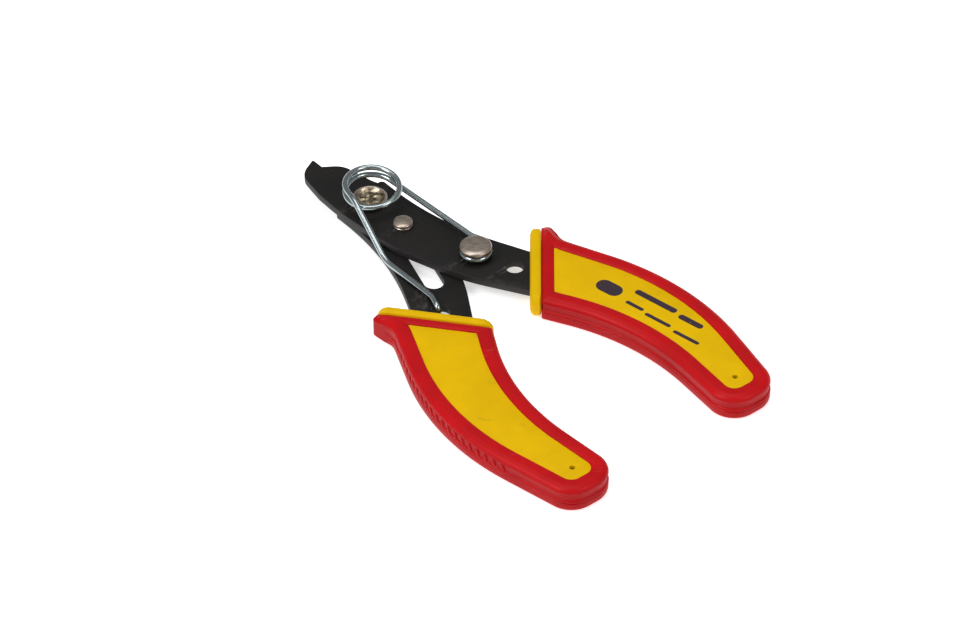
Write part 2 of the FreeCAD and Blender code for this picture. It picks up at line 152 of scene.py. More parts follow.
class Value:
    """A number from a socket. Arithmetic on it adds Math nodes to its tree."""

    def __init__(self, shader, socket):
        self.shader = shader
        self.socket = socket

    def math(self, operation, *values):
        sockets = {k: value for k, value in enumerate(values)}
        return self.shader.value("ShaderNodeMath", {"operation": operation}, sockets)

    def __add__(self, other):
        return self.math("ADD", self, other)

    __radd__ = __add__

    def __sub__(self, other):
        return self.math("SUBTRACT", self, other)

    def __rsub__(self, other):
        return self.math("SUBTRACT", other, self)

    def __mul__(self, other):
        return self.math("MULTIPLY", self, other)

    __rmul__ = __mul__

    def __truediv__(self, other):
        return self.math("DIVIDE", self, other)

    def __rtruediv__(self, other):
        return self.math("DIVIDE", other, self)

    def __pow__(self, other):
        return self.math("POWER", self, other)

    def __abs__(self):
        return self.math("ABSOLUTE", self)

    def least(self, other):
        return self.math("MINIMUM", self, other)

    def most(self, other):
        return self.math("MAXIMUM", self, other)

    def between(self, low, high):
        """0 below low, 1 above high, smooth between them. It falls instead where low is the larger."""
        return self.shader.value("ShaderNodeMapRange", {"interpolation_type": "SMOOTHSTEP"},
                                 {"Value": self, "From Min": low, "From Max": high})


class Shader:
    """One procedural material. Its coordinates are in millimetres in the object's own space."""

    def __init__(self, name):
        self.material = bpy.data.materials.new(name)
        self.material.use_nodes = True
        self.tree = self.material.node_tree
        self.tree.nodes.clear()
        place = self.add("ShaderNodeTexCoord").outputs["Object"]
        scale = self.add("ShaderNodeMapping", {}, {"Vector": place, "Scale": (1 / MM,) * 3})
        self.place = scale.outputs["Vector"]

    def add(self, kind, settings=None, sockets=None):
        node = self.tree.nodes.new(kind)
        for name, setting in (settings or {}).items():
            if name == "stops":
                self.set_stops(node.color_ramp, setting)
            else:
                setattr(node, name, setting)
        for key, value in (sockets or {}).items():
            self.feed(node.inputs[key], value)
        return node

    def set_stops(self, ramp, stops):
        while len(ramp.elements) < len(stops):
            ramp.elements.new(1.0)
        for element, (position, shade) in zip(ramp.elements, stops):
            element.position = position
            element.color = (*shade, 1.0)

    def feed(self, socket, value):
        if isinstance(value, Value):
            value = value.socket
        if isinstance(value, bpy.types.NodeSocket):
            self.tree.links.new(value, socket)
        elif socket.type == "RGBA":
            socket.default_value = (*value, 1.0)
        else:
            socket.default_value = value

    def value(self, kind, settings=None, sockets=None, output=0):
        return Value(self, self.add(kind, settings, sockets).outputs[output])

    def axes(self):
        """The three coordinates of a point, in millimetres."""
        split = self.add("ShaderNodeSeparateXYZ", {}, {"Vector": self.place})
        return [Value(self, socket) for socket in split.outputs]

    def stretched(self, scale, turn=(0, 0, 0)):
        """Coordinates turned and stretched for a pattern with a direction."""
        turned = self.add("ShaderNodeMapping", {}, {"Vector": self.place, "Rotation": turn})
        return self.add("ShaderNodeMapping", {}, {"Vector": turned.outputs[0], "Scale": scale}).outputs[0]

    def noise(self, size, detail=3.0, place=None, distortion=0.0):
        """Noise whose features are about size millimetres across."""
        return self.value("ShaderNodeTexNoise", {}, {
            "Vector": place or self.place, "Scale": 1.0 / size, "Detail": detail, "Distortion": distortion})

    def mix(self, share, first, second):
        """The first colour where share is 0 and the second where it is 1."""
        node = self.add("ShaderNodeMix", {"data_type": "RGBA"}, {"Factor": share})
        self.feed(node.inputs[6], first)
        self.feed(node.inputs[7], second)
        return node.outputs[2]

    def bump(self, height, depth, strength=1.0, under=None):
        """A surface normal from a height of 0 to 1 that stands for depth millimetres."""
        sockets = {"Height": height, "Distance": depth * MM, "Strength": strength}
        if under:
            sockets["Normal"] = under
        return self.add("ShaderNodeBump", {}, sockets).outputs[0]

    def surface(self, **sockets):
        """Ends the tree in a Principled shader. Socket names have _ for each space."""
        named = {name.replace("_", " "): value for name, value in sockets.items()}
        shader = self.add("ShaderNodeBsdfPrincipled", {}, named)
        self.add("ShaderNodeOutputMaterial", {}, {"Surface": shader.outputs[0]})
        return self.material


def black_oxide(sizes):
    """Satin black oxide: fine grain, faint draw marks and handling scratches, paler where it is rubbed."""
    shader = Shader("black_oxide")
    grain = shader.noise(0.35, 4.0)
    cloud = shader.noise(7.0, 3.0)
    drawn = shader.noise(0.5, 3.0, shader.stretched((0.06, 1.0, 1.0), (0, 0, radians(68))))
    scratched = shader.noise(0.7, 2.0, shader.stretched((1.0, 0.025, 1.0), (0, 0, radians(25))))
    scratches = scratched.between(0.69, 0.74) * cloud.between(0.42, 0.6)
    pointiness = shader.value("ShaderNodeNewGeometry", {}, {}, "Pointiness")
    rubbed = pointiness.between(0.52, 0.62) * shader.noise(1.6, 4.0).between(0.35, 0.65)
    wear = (scratches * 0.12 + rubbed * 0.9).least(1.0)
    tint = shader.mix(cloud.between(0.3, 0.7) * 0.35, sizes.oxide, (0.013, 0.0115, 0.0105))
    dust = shader.noise(0.5, 5.0).between(0.68, 0.76) * 0.25
    facing = shader.add("ShaderNodeNewGeometry").outputs["Normal"]
    upright = shader.value("ShaderNodeSeparateXYZ", {}, {"Vector": facing}, "Z")
    sheared = shader.noise(0.5, 3.0, shader.stretched((1.0, 1.0, 0.2)))
    walls = abs(upright).between(0.5, 0.1) * (0.5 + sheared * 0.5)
    tint = shader.mix(walls, tint, sizes.sheared)
    coat = shader.mix(dust, shader.mix(wear, tint, sizes.bare), (0.09, 0.085, 0.08))
    rough = 0.42 + cloud * 0.14 + grain * 0.1 - wear * 0.12
    height = grain * 0.5 + drawn * 0.35 - scratches * 0.3
    return shader.surface(Base_Color=coat, Roughness=rough, Metallic=0.0, Specular_IOR_Level=0.24,
                          Normal=shader.bump(height, 0.012))


def plated_nickel(name, sizes, centre, dished=False):
    """Dull nickel plate: fine turning marks round the head's centre, brown tarnish in the low places."""
    shader = Shader(name)
    across, along, _ = shader.axes()
    reach = ((across - centre.x / MM) ** 2 + (along - centre.y / MM) ** 2) ** 0.5
    rings = shader.value("ShaderNodeTexNoise", {"noise_dimensions": "1D"}, {"W": reach, "Scale": 5.0})
    cloud = shader.noise(1.6, 3.0)
    rubbed = shader.noise(0.4, 3.0, shader.stretched((0.18, 1.0, 1.0), (0, 0, radians(38))))
    pits = shader.noise(0.35, 3.0).between(0.66, 0.74)
    tint = shader.mix((cloud * 0.3 + rubbed * 0.6).between(0.34, 0.56), sizes.nickel, sizes.tarnish)
    if dished:
        inside = reach.between(4.3, 3.6)
        spots = shader.noise(0.9, 3.0).between(0.4, 0.62)
        bowl = shader.mix(spots * 0.9, sizes.gold, [0.28 * part for part in sizes.tarnish])
        tint = shader.mix(inside, tint, bowl)
    tint = shader.mix(pits * 0.4, tint, (0.1, 0.08, 0.06))
    rough = 0.24 + cloud * 0.1 + rubbed * 0.1
    relief = rings * 0.3 + rubbed * 0.5 - pits * 0.4
    return shader.surface(Base_Color=tint, Roughness=rough, Metallic=1.0,
                          Normal=shader.bump(relief, 0.006))


def zinc_plate(name, tint):
    """Bright smooth zinc on steel, dulled in patches."""
    shader = Shader(name)
    cloud = shader.noise(4.0, 1.0)
    grime = shader.noise(2.2, 2.0).between(0.56, 0.74)
    coat = shader.mix(grime * 0.3, tint, [0.5 * part for part in tint])
    rough = 0.14 + cloud * 0.1 + grime * 0.12
    return shader.surface(Base_Color=coat, Roughness=rough, Metallic=1.0)


def red_moulding(sizes):
    """Soft red over-moulding: satin, fine orange-peel, faint scuffs on the high edges and lint, and painted
    shade on its upright walls.
    """
    shader = Shader("red_moulding")
    cloud = shader.noise(9.0, 3.0)
    peel = shader.noise(0.55, 3.0)
    flow = shader.noise(1.6, 3.0, shader.stretched((1.0, 0.16, 1.0), (0, 0, radians(-12))))
    scuffed = shader.noise(0.6, 3.0, shader.stretched((0.12, 1.0, 1.0), (0, 0, radians(35))))
    scuffs = scuffed.between(0.64, 0.74) * shader.noise(6.0).between(0.5, 0.62)
    lint = shader.noise(0.28, 2.0).between(0.74, 0.79)
    deep = [0.80 * part for part in sizes.red]
    tint = shader.mix(cloud.between(0.3, 0.7) * 0.8, sizes.red, deep)
    tint = shader.mix(scuffs * 0.25, tint, (0.72, 0.16, 0.14))
    tint = shader.mix(lint * 0.35, tint, (0.7, 0.35, 0.32))
    facing = shader.add("ShaderNodeNewGeometry").outputs["Normal"]
    upright = shader.value("ShaderNodeSeparateXYZ", {}, {"Vector": facing}, "Z")
    # Painted shade: the upright walls are darkened towards a deeper red, standing in for shade rather than
    # for any dirt.
    painted_wall_shade = abs(upright).between(0.6, 0.1) * (0.5 + cloud * 0.4)
    tint = shader.mix(painted_wall_shade, tint, [0.62 * part for part in sizes.red])
    rough = 0.33 + cloud * 0.1 + peel * 0.06 + scuffs * 0.15
    relief = peel * 0.55 + flow * 0.45
    return shader.surface(Base_Color=tint, Roughness=rough, Specular_IOR_Level=0.14,
                          Normal=shader.bump(relief, 0.012))


# Printed marks on the upper panel: plain bars with round ends. Each has its middle, in millimetres from the
# pivot, its half length and its half height.
PRINT_ANGLE = -78.9
PRINT_BARS = [
    ((25.4, -69.6), 3.9, 2.3),
    ((31.3, -81.6), 6.8, 0.95),
    ((32.9, -93.6), 3.9, 0.95),
    ((25.8, -79.4), 2.9, 0.6),
    ((26.7, -87.6), 4.2, 0.6),
    ((27.8, -97.6), 4.2, 0.6),
]


def printed_marks(shader):
    """1 where the panel is printed, with a few specks where the ink has rubbed off."""
    across, along, height = shader.axes()
    across = across - PIVOT.x / MM
    along = along - PIVOT.y / MM
    turn = radians(PRINT_ANGLE)
    ahead = across * cos(turn) + along * sin(turn)
    aside = along * cos(turn) - across * sin(turn)
    marks = height * 0.0
    for (x, y), half_length, half_height in PRINT_BARS:
        middle_ahead = x * cos(turn) + y * sin(turn)
        middle_aside = y * cos(turn) - x * sin(turn)
        beyond_end = (abs(ahead - middle_ahead) - (half_length - half_height)).most(0.0)
        reach = (beyond_end ** 2 + (aside - middle_aside) ** 2) ** 0.5
        marks = marks.most(reach.between(half_height + 0.05, half_height - 0.05))
    worn = shader.noise(0.4, 3.0).between(0.76, 0.7) * shader.noise(2.5, 3.0).between(0.82, 0.72)
    return marks * worn * height.between(6.5, 6.7)


def yellow_moulding(name, sizes, printed):
    """Yellow moulding: fine grain, grey scuffs and grime, and the print on the upper panel."""
    shader = Shader(name)
    cloud = shader.noise(8.0, 3.0)
    peel = shader.noise(0.5, 3.0)
    smear = shader.noise(1.5, 4.0, shader.stretched((0.25, 1.0, 1.0), (0, 0, radians(55))))
    scuffs = smear.between(0.6, 0.76) * shader.noise(9.0, 2.0).between(0.5, 0.64)
    fine = shader.noise(0.35, 2.0, shader.stretched((0.04, 1.0, 1.0), (0, 0, radians(-20))))
    scratches = fine.between(0.68, 0.72) * shader.noise(5.0).between(0.5, 0.6)
    deep = [0.88 * part for part in sizes.yellow]
    tint = shader.mix(cloud.between(0.3, 0.7) * 0.7, sizes.yellow, deep)
    tint = shader.mix((scuffs * 0.26 + scratches * 0.25).least(1.0), tint, (0.22, 0.15, 0.03))
    if printed:
        tint = shader.mix(printed_marks(shader) * 0.96, tint, sizes.ink)
    rough = 0.4 + cloud * 0.1 + scuffs * 0.12
    relief = peel * 0.7 - scratches * 0.4 + cloud * 0.3
    return shader.surface(Base_Color=tint, Roughness=rough, Specular_IOR_Level=0.08,
                          Normal=shader.bump(relief, 0.01))


FLOOR_GLOW = 0.62


def matte_floor(floor):
    """Plain pale surface with a very faint mottling."""
    shader = Shader("matte_floor")
    mottle = shader.noise(60.0, 2.0)
    tint = shader.mix(mottle, floor, [0.985 * part for part in floor])
    return shader.surface(Base_Color=tint, Roughness=0.9, Specular_IOR_Level=0.1,
                          Emission_Color=tint, Emission_Strength=FLOOR_GLOW)


# Plan geometry, in millimetres from the pivot axis

COLLAR_ANGLE = radians(39.6)
COLLAR_FRONT = 43.0
COLLAR_THICKNESS = 3.0
COLLAR_FROM = 11.5
COLLAR_TO = 42.6
COLLAR_CORNER = 2.9
COLLAR_ROUND = 1.2
COLLAR_END_ROUND = 1.8
COLLAR_INSET = 0.15
COLLAR_BURR = 0.06
COVER_FROM = 11.9
COVER_TO = 42.7
HORN_TIP = (30.5, -38.9)
HORN_ROUND = 1.2
GRIP_END_OUTER_X = 34.8
GRIP_END_INNER_X = 17.9
GRIP_END_ROUND = 7.5
PANEL_FRONT = 49.4
GRIP_END_Y = -126.0
CARCASS_BORDER = 2.2
CARCASS_COVER = 1.3
PANEL_RECESS = 0.5
PIN_MARK = (27.4, -117.3)
PIN_MARK_RADIUS = 0.75
PIN_MARK_SIDES = 28
PANEL_THICKNESS = 1.6
PANEL_EDGE = 0.06
CARCASS_GAP = 0.1
CARCASS_EDGE = 0.05
OUTLINE_STEP = 0.5


def to_frame(points, mirror=False):
    """Millimetres from the pivot axis to metres in the CAD frame, for the upper or the lower arm."""
    side = -1.0 if mirror else 1.0
    return [Vector((side * x * MM + PIVOT.x, y * MM + PIVOT.y, z * MM)) for x, y, z in points]


def rounded_points(corners, closed, step):
    """Points a step apart along straight runs and tangent arcs, from (corner, radius) pairs."""
    count = len(corners)
    groups = []
    for k, (corner, radius) in enumerate(corners):
        at_end = not closed and k in (0, count - 1)
        if radius == 0 or at_end:
            groups.append([corner])
            continue
        back = (corners[k - 1][0] - corner).normalized()
        ahead = (corners[(k + 1) % count][0] - corner).normalized()
        half = back.angle(ahead) / 2
        centre = corner + (back + ahead).normalized() * radius / sin(half)
        first = corner + back * radius / tan(half) - centre
        last = corner + ahead * radius / tan(half) - centre
        steps = max(3, ceil(radius * first.angle(last) / step))
        groups.append([centre + first.slerp(last, s / steps).normalized() * radius
                       for s in range(steps + 1)])
    points = []
    for k, group in enumerate(groups):
        points += group
        if k == count - 1 and not closed:
            break
        start, end = group[-1], groups[(k + 1) % count][0]
        pieces = max(1, round((end - start).length / step))
        points += [start.lerp(end, p / pieces) for p in range(1, pieces)]
    return points


def collar_point(along, across):
    """A point given along and across the grip, square to the collar."""
    ahead = Vector((cos(COLLAR_ANGLE), -sin(COLLAR_ANGLE), 0))
    inward = Vector((-sin(COLLAR_ANGLE), -cos(COLLAR_ANGLE), 0))
    return ahead * along + inward * across


class GripPlan:
    """The grip's outline from above, and the same outline drawn in by any amount."""

    def __init__(self, border):
        back = COLLAR_FRONT + COLLAR_THICKNESS
        corners = [
            (collar_point(back, COVER_FROM), 0),
            (Vector((*HORN_TIP, 0)), HORN_ROUND),
            (Vector((29.0, -46.0, 0)), 6),
            (Vector((44.5, -81.3, 0)), 74),
            (Vector((GRIP_END_OUTER_X, GRIP_END_Y, 0)), GRIP_END_ROUND),
            (Vector((GRIP_END_INNER_X, GRIP_END_Y, 0)), GRIP_END_ROUND),
            (Vector((21.2, -85.7, 0)), 66),
            (collar_point(back, COVER_TO), 0),
        ]
        ring = np.array([point.xy for point in rounded_points(corners, True, OUTLINE_STEP)])
        ring = ring[np.linalg.norm(np.roll(ring, -1, axis=0) - ring, axis=1) > 0.01]
        self.starts = ring
        self.runs = np.roll(ring, -1, axis=0) - ring
        lengths = np.linalg.norm(self.runs, axis=1)
        self.middles = ring + self.runs / 2
        self.inward = np.column_stack([self.runs[:, 1], -self.runs[:, 0]]) / lengths[:, None]
        ahead = np.array(collar_point(1, 0).xy)
        in_front = np.abs(self.middles @ ahead - back) < 0.01
        self.shares = np.where(in_front, (PANEL_FRONT - back) / border, 1.0)

    def inset(self, amount):
        """The outline drawn in by an amount. Points that a corner swallows slide on to that corner."""
        moved = self.middles + self.inward * (amount * self.shares)[:, None]
        away = moved[:, None, :] - self.starts[None, :, :]
        share = (away * self.runs[None]).sum(-1) / (self.runs ** 2).sum(-1)[None]
        nearest = self.starts[None] + self.runs[None] * np.clip(share, 0, 1)[..., None]
        gap = np.linalg.norm(moved[:, None, :] - nearest, axis=-1) / self.shares[None]
        kept = np.flatnonzero((gap > amount - 0.03).all(axis=1))
        for k, first in enumerate(kept):
            last = kept[(k + 1) % len(kept)]
            missing = (last - first) % len(moved)
            for step in range(1, missing):
                moved[(first + step) % len(moved)] = (
                    moved[first] + (moved[last] - moved[first]) * step / missing)
        return moved


# Mesh building

def arc_profile(centre, radius, start, end, steps):
    """Points on an arc in a section, angles in degrees from its first axis."""
    angles = [radians(start + (end - start) * k / steps) for k in range(steps + 1)]
    return [(centre[0] + radius * cos(turn), centre[1] + radius * sin(turn)) for turn in angles]


def stacked(loops, closed):
    """A mesh through loops of points. Its last loop meets its first, or both are capped."""
    build = bmesh.new()
    rings = [[build.verts.new(point) for point in loop] for loop in loops]
    pairs = list(zip(rings, rings[1:]))
    if closed:
        pairs.append((rings[-1], rings[0]))
    for lower, upper in pairs:
        count = len(lower)
        for k in range(count):
            build.faces.new((lower[k], lower[(k + 1) % count], upper[(k + 1) % count], upper[k]))
    if not closed:
        build.faces.new(rings[0])
        build.faces.new(rings[-1])
    return build


def as_mesh(build, name, sharp=40.0):
    """Cleans a bmesh and turns it into a mesh, smooth apart from edges sharper than an angle."""
    bmesh.ops.remove_doubles(build, verts=build.verts, dist=0.002 * MM)
    bmesh.ops.dissolve_degenerate(build, edges=build.edges, dist=0.001 * MM)
    bmesh.ops.recalc_face_normals(build, faces=build.faces)
    mesh = bpy.data.meshes.new(name)
    build.to_mesh(mesh)
    build.free()
    return smooth(mesh, sharp)


def smooth(mesh, sharp=40.0):
    mesh.polygons.foreach_set("use_smooth", [True] * len(mesh.polygons))
    mesh.set_sharp_from_angle(angle=radians(sharp))
    return mesh


def add_piece(name, mesh, material, body, slot, *nodes):
    """Puts a mesh in the scene as a finished piece that stands for CAD nodes."""
    mesh.materials.clear()
    mesh.materials.append(material)
    piece = bpy.data.objects.new(name, mesh)
    bpy.context.scene.collection.objects.link(piece)
    if body:
        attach(piece, body)
    if nodes:
        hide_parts(*nodes)
    return piece


def evaluated_mesh(holder):
    """The plain mesh of a curve or modified object, which is then removed."""
    bpy.context.view_layer.update()
    seen = holder.evaluated_get(bpy.context.evaluated_depsgraph_get())
    mesh = bpy.data.meshes.new_from_object(seen)
    bpy.data.objects.remove(holder)
    return mesh


def curve_object(name, splines, flat):
    """A curve object of polylines. Flat ones are closed outlines that fill, with holes inside them."""
    curve = bpy.data.curves.new(name, "CURVE")
    curve.dimensions = "2D" if flat else "3D"
    for points in splines:
        spline = curve.splines.new("POLY")
        spline.points.add(len(points) - 1)
        spline.use_cyclic_u = flat
        for target, point in zip(spline.points, points):
            target.co = (*point, 0, 1) if flat else (*point, 1)
    holder = bpy.data.objects.new(name, curve)
    bpy.context.scene.collection.objects.link(holder)
    return holder


def plate(name, outlines, bottom, top, edge):
    """A flat plate over closed outlines, with softened edges. Everything is in millimetres."""
    holder = curve_object(name, outlines, True)
    curve = holder.data
    curve.fill_mode = "BOTH"
    curve.extrude = (top - bottom) / 2 - edge
    curve.bevel_depth = edge
    curve.bevel_resolution = 2
    curve.offset = -edge
    mesh = evaluated_mesh(holder)
    mesh.transform(Matrix.Diagonal((MM, MM, MM, 1)) @ Matrix.Translation((0, 0, (bottom + top) / 2)))
    return mesh


def joined(name, meshes, sharp=40.0):
    """One mesh from several, each a closed shell of its own."""
    build = bmesh.new()
    for mesh in meshes:
        build.from_mesh(mesh)
        bpy.data.meshes.remove(mesh)
    return as_mesh(build, name, sharp)


def top_outlines(node):
    """The closed outlines of the top face of a CAD plate, holes too, in millimetres."""
    build = bmesh.new()
    build.from_mesh(frame["nodes"][node].data)
    bmesh.ops.remove_doubles(build, verts=build.verts, dist=0.001 * MM)
    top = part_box(node)[1].z
    faces = {face for face in build.faces
             if face.normal.z > 0.99 and abs(face.calc_center_median().z - top) < 0.01 * MM}
    after = {}
    for face in faces:
        for loop in face.loops:
            across = [other for other in loop.edge.link_faces if other not in faces]
            if across:
                after[loop.vert.index] = loop.link_loop_next.vert.index
    places = {vert.index: (vert.co.x / MM, vert.co.y / MM) for vert in build.verts}
    build.free()
    outlines = []
    while after:
        start, step = after.popitem()
        outline = [places[start]]
        while step != start:
            outline.append(places[step])
            step = after.pop(step)
        outlines.append(outline)
    if not outlines:
        raise RuntimeError(node + " has no flat top face")
    return outlines


def turned(profile, centre, segments, relief=None):
    """A closed solid of revolution from (radius, z) points that start and end on its axis."""
    build = bmesh.new()
    rings = []
    for radius, z in profile:
        count = 1 if radius == 0 else segments
        ring = []
        for k in range(count):
            turn = 2 * pi * k / segments
            lift = relief(radius, turn, z) if relief else 0.0
            x = (centre[0] + radius * cos(turn)) * MM + PIVOT.x
            y = (centre[1] + radius * sin(turn)) * MM + PIVOT.y
            ring.append(build.verts.new((x, y, (z + lift) * MM)))
        rings.append(ring)
    for first, second in zip(rings, rings[1:]):
        for k in range(segments):
            after = (k + 1) % segments
            corners = [first[k % len(first)], first[after % len(first)],
                       second[after % len(second)], second[k % len(second)]]
            build.faces.new(list(dict.fromkeys(corners)))
    return build


# Geometry node trees

def node_tree(name, inputs):
    """An empty geometry tree with named inputs, and its input and output nodes."""
    tree = bpy.data.node_groups.new(name, "GeometryNodeTree")
    tree.interface.new_socket("Geometry", in_out="INPUT", socket_type="NodeSocketGeometry")
    tree.interface.new_socket("Geometry", in_out="OUTPUT", socket_type="NodeSocketGeometry")
    for label, kind in inputs:
        tree.interface.new_socket(label, in_out="INPUT", socket_type="NodeSocket" + kind)
    return tree, tree.nodes.new("NodeGroupInput"), tree.nodes.new("NodeGroupOutput")


def tree_node(tree, kind, settings, sockets):
    node = tree.nodes.new(kind)
    for name, setting in settings.items():
        setattr(node, name, setting)
    for key, value in sockets.items():
        if isinstance(value, bpy.types.NodeSocket):
            tree.links.new(value, node.inputs[key])
        else:
            node.inputs[key].default_value = value
    return node


def run_tree(holder, tree, values):
    """Evaluates a tree on an object with its inputs set by name, and returns the plain mesh."""
    modifier = holder.modifiers.new(tree.name, "NODES")
    modifier.node_group = tree
    for item in tree.interface.items_tree:
        if item.in_out == "INPUT" and item.name in values:
            modifier[item.identifier] = values[item.name]
    return evaluated_mesh(holder)


def end_tree(tree, geometry, material, out):
    """Realizes, smooths and finishes the geometry, and links it to the tree's output."""
    real = tree_node(tree, "GeometryNodeRealizeInstances", {}, {0: geometry})
    soft = tree_node(tree, "GeometryNodeSetShadeSmooth", {}, {0: real.outputs[0]})
    done = tree_node(tree, "GeometryNodeSetMaterial", {}, {0: soft.outputs[0], "Material": material})
    tree.links.new(done.outputs[0], out.inputs[0])
    return tree


def wire_tree():
    """A round wire of any radius along a path."""
    tree, given, out = node_tree("bent_wire", [("Radius", "Float"), ("Sides", "Int"),
                                               ("Material", "Material")])
    ring = tree_node(tree, "GeometryNodeCurvePrimitiveCircle", {},
                     {"Radius": given.outputs["Radius"], "Resolution": given.outputs["Sides"]})
    swept = tree_node(tree, "GeometryNodeCurveToMesh", {}, {
        0: given.outputs["Geometry"], 1: ring.outputs[0], "Fill Caps": True})
    return end_tree(tree, swept.outputs[0], given.outputs["Material"], out)


def rib_tree():
    """Low rounded ribs that lean along a path on an upright wall."""
    tree, given, out = node_tree("wall_ribs", [
        ("Count", "Int"), ("Length", "Float"), ("Width", "Float"), ("Height", "Float"),
        ("Slant", "Float"), ("Material", "Material")])
    spaced = tree_node(tree, "GeometryNodeResampleCurve", {},
                       {"Curve": given.outputs["Geometry"], "Count": given.outputs["Count"]})
    bead = tree_node(tree, "GeometryNodeMeshUVSphere", {}, {"Segments": 12, "Rings": 8, "Radius": 0.5})
    size = tree_node(tree, "ShaderNodeCombineXYZ", {}, {
        0: given.outputs["Width"], 1: given.outputs["Height"], 2: given.outputs["Length"]})
    rib = tree_node(tree, "GeometryNodeTransform", {}, {0: bead.outputs[0], "Scale": size.outputs[0]})
    tangent = tree_node(tree, "GeometryNodeInputTangent", {}, {})
    sine = tree_node(tree, "ShaderNodeMath", {"operation": "SINE"}, {0: given.outputs["Slant"]})
    lean = tree_node(tree, "ShaderNodeVectorMath", {"operation": "SCALE"},
                     {0: tangent.outputs[0], "Scale": sine.outputs[0]})
    upright = tree_node(tree, "ShaderNodeVectorMath", {"operation": "ADD"},
                        {0: lean.outputs[0], 1: (0.0, 0.0, 1.0)})
    outward = tree_node(tree, "ShaderNodeVectorMath", {"operation": "CROSS_PRODUCT"},
                        {0: tangent.outputs[0], 1: (0.0, 0.0, 1.0)})
    facing = tree_node(tree, "FunctionNodeAxesToRotation", {"primary_axis": "Z", "secondary_axis": "Y"},
                       {0: upright.outputs[0], 1: outward.outputs[0]})
    placed = tree_node(tree, "GeometryNodeInstanceOnPoints", {}, {
        "Points": spaced.outputs[0], "Instance": rib.outputs[0], "Rotation": facing.outputs[0]})
    return end_tree(tree, placed.outputs[0], given.outputs["Material"], out)


# Blades

class STRIPPER_OT_blades(bpy.types.Operator):
    """Builds both stamped blades with worn edges and black oxide"""
    bl_idname = "stripper.blades"
    bl_label = "Blades"

    def execute(self, context):
        sizes = context.scene.stripper_blades
        finish = black_oxide(sizes)
        for node, body in (("upper_blade", "upper_arm"), ("lower_blade", "lower_arm")):
            low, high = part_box(node)
            mesh = plate(node, top_outlines(node), low.z / MM, high.z / MM, sizes.edge / MM)
            stamped = joined(node + "_stamping", [mesh], 25.0)
            add_piece(node + "_stamping", stamped, finish, body, "blade_steel", node)
        return {"FINISHED"}


# Rivet, pin, post and washers

PIN_CENTRE = (0.4, -13.7)
POST_CENTRE = (7.4, -36.0)
PIVOT_SHANK_RADIUS = 3.0
PIVOT_HEAD_RADIUS = 4.7
PIVOT_TAIL_RADIUS = 3.9
DISH_RADIUS = 3.8
DISH_DEPTH = 0.9
PIN_SHANK_RADIUS = 1.3
PIN_HEAD_RADIUS = 2.65
PIN_STEP_RADIUS = 2.6
PIN_STEP_HEIGHT = 0.65
PIN_TAIL_RADIUS = 2.0
POST_SHANK_RADIUS = 2.0
POST_NECK_RADIUS = 2.7
POST_NECK_HEIGHT = 2.5
POST_HEAD_RADIUS = 4.35
TAIL_HEIGHT = 0.65
WASHER_ZINC = (0.42, 0.42, 0.43)


def domed_head(radius, seat, top, dome):
    """Section of a head: a shallow dome, a rounded shoulder, a straight rim and a softened foot."""
    shoulder = 0.16 * radius
    crown = [(radius * share, top - dome * share ** 2) for share in (0, 0.2, 0.4, 0.6, 0.76)]
    drop = top - dome
    turn = arc_profile((radius - shoulder, drop - shoulder), shoulder, 75, 0, 5)
    return crown + turn + [(radius, seat + 0.25), (radius - 0.08, seat + 0.08), (radius - 0.25, seat)]


def closed_end(radius, bottom, top):
    """Section of a closed rivet end, from its wide side down to the axis."""
    return [(radius, top), (0.95 * radius, bottom + 0.6 * (top - bottom)),
            (0.82 * radius, bottom + 0.2 * (top - bottom)), (0.55 * radius, bottom), (0, bottom)]


class STRIPPER_OT_pivot(bpy.types.Operator):
    """Builds the pivot rivet with its staked dish"""
    bl_idname = "stripper.pivot"
    bl_label = "Pivot rivet"

    def execute(self, context):
        sizes = context.scene.stripper_fasteners
        low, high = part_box("pivot_rivet")
        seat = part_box("upper_blade")[1].z / MM
        rim, bottom = high.z / MM, low.z / MM
        floor = rim - DISH_DEPTH
        depth = sizes.stake_depth / MM
        bowl = [(0, floor + 0.1)] + [(0.3 * k, floor + 0.1 * (1 - 0.3 * k)) for k in range(1, 4)]
        bowl += [(0.3 * k, floor + 0.02) for k in range(4, 9)]
        bowl += arc_profile((2.7, floor + 1.1), 1.08, -88, -38, 5)
        lip = arc_profile(((PIVOT_HEAD_RADIUS + DISH_RADIUS) / 2, rim - 0.45), 0.45, 150, 10, 8)
        head = bowl + lip + [(PIVOT_HEAD_RADIUS, seat + 0.3), (PIVOT_HEAD_RADIUS - 0.2, seat)]
        shank = [(PIVOT_SHANK_RADIUS, seat), (PIVOT_SHANK_RADIUS, bottom + TAIL_HEIGHT)]
        tail = closed_end(PIVOT_TAIL_RADIUS, bottom, bottom + TAIL_HEIGHT)

        def staking(radius, turn, z):
            """Raised petals between the marks of the staking tool."""
            if z > rim - 0.2 or z < floor - 0.1 or radius > DISH_RADIUS:
                return 0.0
            reach = max(0.0, 1 - abs(radius - 1.9) / 1.5)
            return depth * reach * (0.5 + 0.5 * cos(sizes.stakes * turn)) ** 2

        mesh = as_mesh(turned(head + shank + tail, (0, 0), 120, staking), "pivot_rivet_staked")
        finish = plated_nickel("dished_nickel", sizes, PIVOT, True)
        add_piece("pivot_rivet_staked", mesh, finish, "upper_arm", "plated_rivet", "pivot_rivet")
        return {"FINISHED"}


